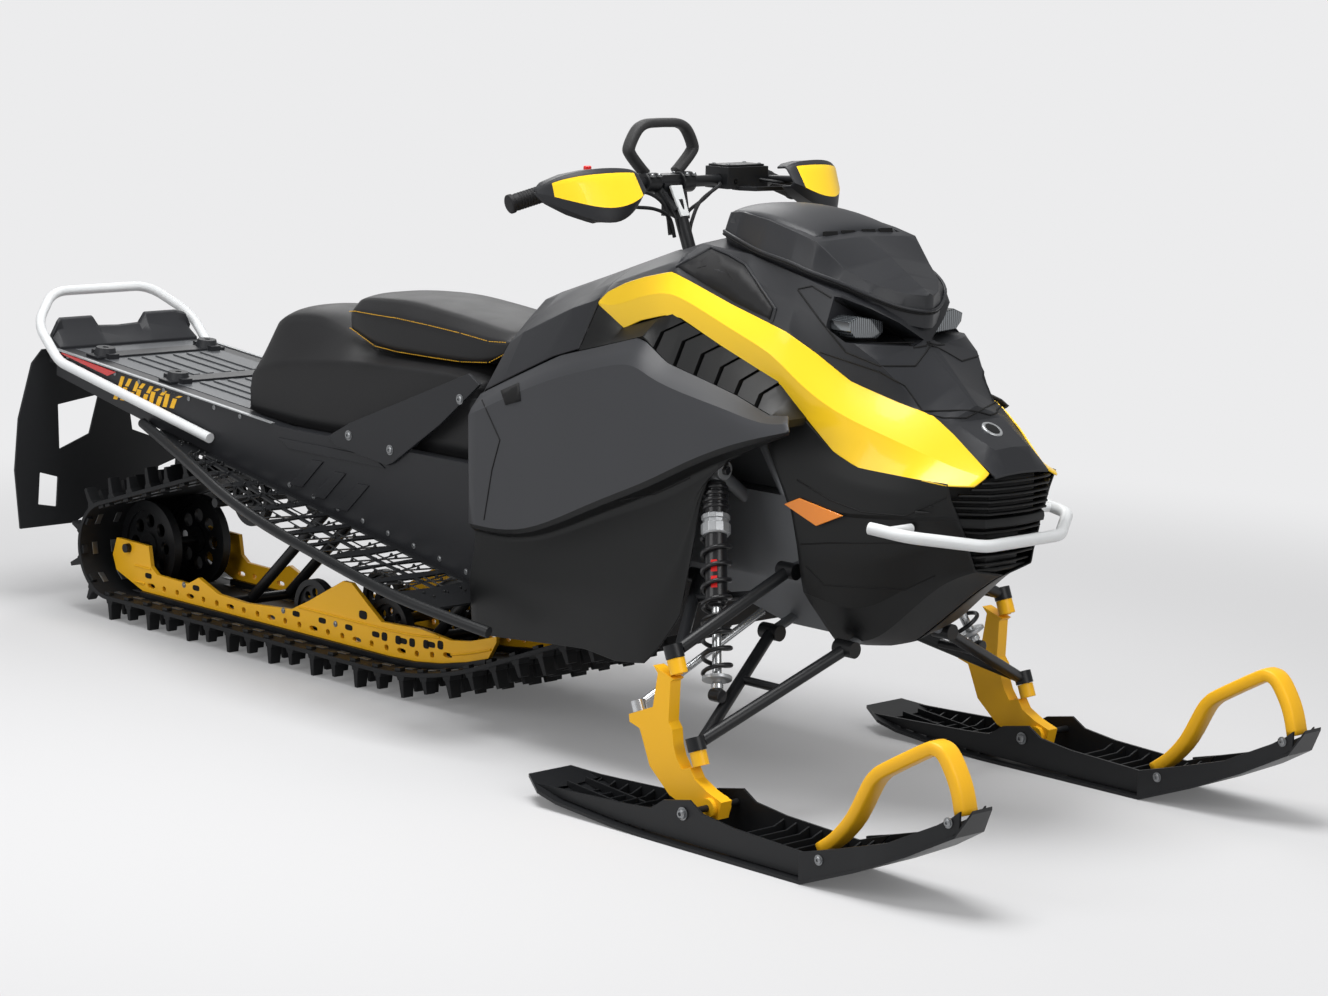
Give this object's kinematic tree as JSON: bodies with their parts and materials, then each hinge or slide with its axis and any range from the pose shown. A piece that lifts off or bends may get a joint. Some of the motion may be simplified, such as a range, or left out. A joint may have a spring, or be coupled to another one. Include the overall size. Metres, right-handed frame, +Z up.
{
  "type": "snowmobile",
  "caption": "Mountain snowmobile with a lugged track under a tunnel, faceted bodywork, double-arm front suspension, steered skis and a tall handlebar.",
  "frame": {"origin": "on the floor under the middle of the machine", "axes": "+X forward, +Y to the left, +Z up"},
  "size_m": [3.085, 1.077, 1.203],
  "materials": {
    "tunnel_sheet": "coated sheet",
    "silver_tube": "satin silver paint",
    "black_tube": "satin black powder coat",
    "black_plastic": "moulded, fine grain",
    "dark_panel": "satin moulded panel",
    "grey_panel": "satin moulded panel",
    "yellow_panel": "gloss, coloured through",
    "yellow_metal": "satin powder coat",
    "yellow_plastic": "moulded loop",
    "flap_rubber": "flexible flap",
    "seat_vinyl": "grained vinyl",
    "pad_vinyl": "grained vinyl, stitched",
    "tank_plastic": "blow moulded",
    "red_lens": "reflector",
    "amber_lens": "reflector",
    "lamp_lens": "clear lamp cover",
    "cast_metal": "as cast",
    "engine_metal": "cast block",
    "arm_steel": "satin black powder coat",
    "shock_metal": "damper with coil spring",
    "rod_steel": "plain rod",
    "track_rubber": "moulded lugs",
    "shoe_plastic": "slide shoe",
    "wheel_plastic": "wheels with rubber rims",
    "ski_plastic": "moulded runner",
    "strap_webbing": "padded strap",
    "guard_plastic": "moulded guard",
    "control_plastic": "switch blocks"
  },
  "bodies": {
    "chassis": {"tunnel": "tunnel_sheet", "running_board_right": "tunnel_sheet", "running_board_left": "tunnel_sheet", "rear_bumper": "silver_tube", "tail_housing": "black_plastic", "tail_lenses": "red_lens", "snow_flap": "flap_rubber", "cargo_anchors": "black_plastic", "seat_base": "seat_vinyl", "seat_pad": "pad_vinyl", "fuel_tank": "tank_plastic", "frame_braces": "black_tube", "head_pod": "dark_panel", "headlamps": "lamp_lens", "console": "dark_panel", "hood": "dark_panel", "hood_panel_right": "yellow_panel", "hood_panel_left": "yellow_panel", "side_louvres": "black_plastic", "side_panel_right": "grey_panel", "side_panel_left": "grey_panel", "belly_pan": "black_plastic", "grille": "black_plastic", "marker_lamps": "amber_lens", "front_bumper": "silver_tube", "front_frame": "cast_metal", "engine_block": "engine_metal", "upper_arms": "arm_steel", "lower_arms": "arm_steel", "front_shocks": "shock_metal", "track": "track_rubber", "rail_right": "yellow_metal", "rail_left": "yellow_metal", "slide_shoes": "shoe_plastic", "track_wheels": "wheel_plastic", "suspension_arms": "arm_steel"},
    "steering": {"steering_post": "black_tube", "grab_strap": "strap_webbing", "hand_guards": "guard_plastic", "guard_panels": "yellow_panel", "bar_controls": "control_plastic"},
    "spindle_right": {"spindle_right": "yellow_metal"},
    "spindle_left": {"spindle_left": "yellow_metal"},
    "ski_right": {"ski_right": "ski_plastic", "ski_handle_right": "yellow_plastic"},
    "ski_left": {"ski_left": "ski_plastic", "ski_handle_left": "yellow_plastic"},
    "tie_rod_right": {"tie_rod_right": "rod_steel"},
    "tie_rod_left": {"tie_rod_left": "rod_steel"}
  },
  "joints": [
    {"name": "steering_turn", "type": "hinge", "parent": "chassis", "child": "steering", "pos_m": [0.366, 0, 1.03], "axis": [-0.3971, 0, 0.9178], "range_deg": [-36, 36]},
    {"name": "spindle_right_turn", "type": "hinge", "parent": "chassis", "child": "spindle_right", "pos_m": [0.845, -0.4425, 0.28], "axis": [-0.3714, 0, 0.9285], "range_deg": [-29, 29]},
    {"name": "tie_rod_right_slide", "type": "slide", "parent": "chassis", "child": "tie_rod_right", "axis": [0, 1, 0], "range_m": [-0.0482, 0.0482]},
    {"name": "ski_right_rock", "type": "hinge", "parent": "spindle_right", "child": "ski_right", "pos_m": [0.945, -0.4525, 0.058], "axis": [0, 1, 0], "range_deg": [-15, 10]},
    {"name": "spindle_left_turn", "type": "hinge", "parent": "chassis", "child": "spindle_left", "pos_m": [0.845, 0.4425, 0.28], "axis": [-0.3714, 0, 0.9285], "range_deg": [-29, 29]},
    {"name": "tie_rod_left_slide", "type": "slide", "parent": "chassis", "child": "tie_rod_left", "axis": [0, 1, 0], "range_m": [-0.0482, 0.0482]},
    {"name": "ski_left_rock", "type": "hinge", "parent": "spindle_left", "child": "ski_left", "pos_m": [0.945, 0.4525, 0.058], "axis": [0, 1, 0], "range_deg": [-15, 10]}
  ],
  "couplings": [
    {"joint": "spindle_right_turn", "follows": "steering_turn", "ratio": 0.8},
    {"joint": "tie_rod_right_slide", "follows": "steering_turn", "m_per_rad": -0.076},
    {"joint": "spindle_left_turn", "follows": "steering_turn", "ratio": 0.8},
    {"joint": "tie_rod_left_slide", "follows": "steering_turn", "m_per_rad": -0.076}
  ]
}
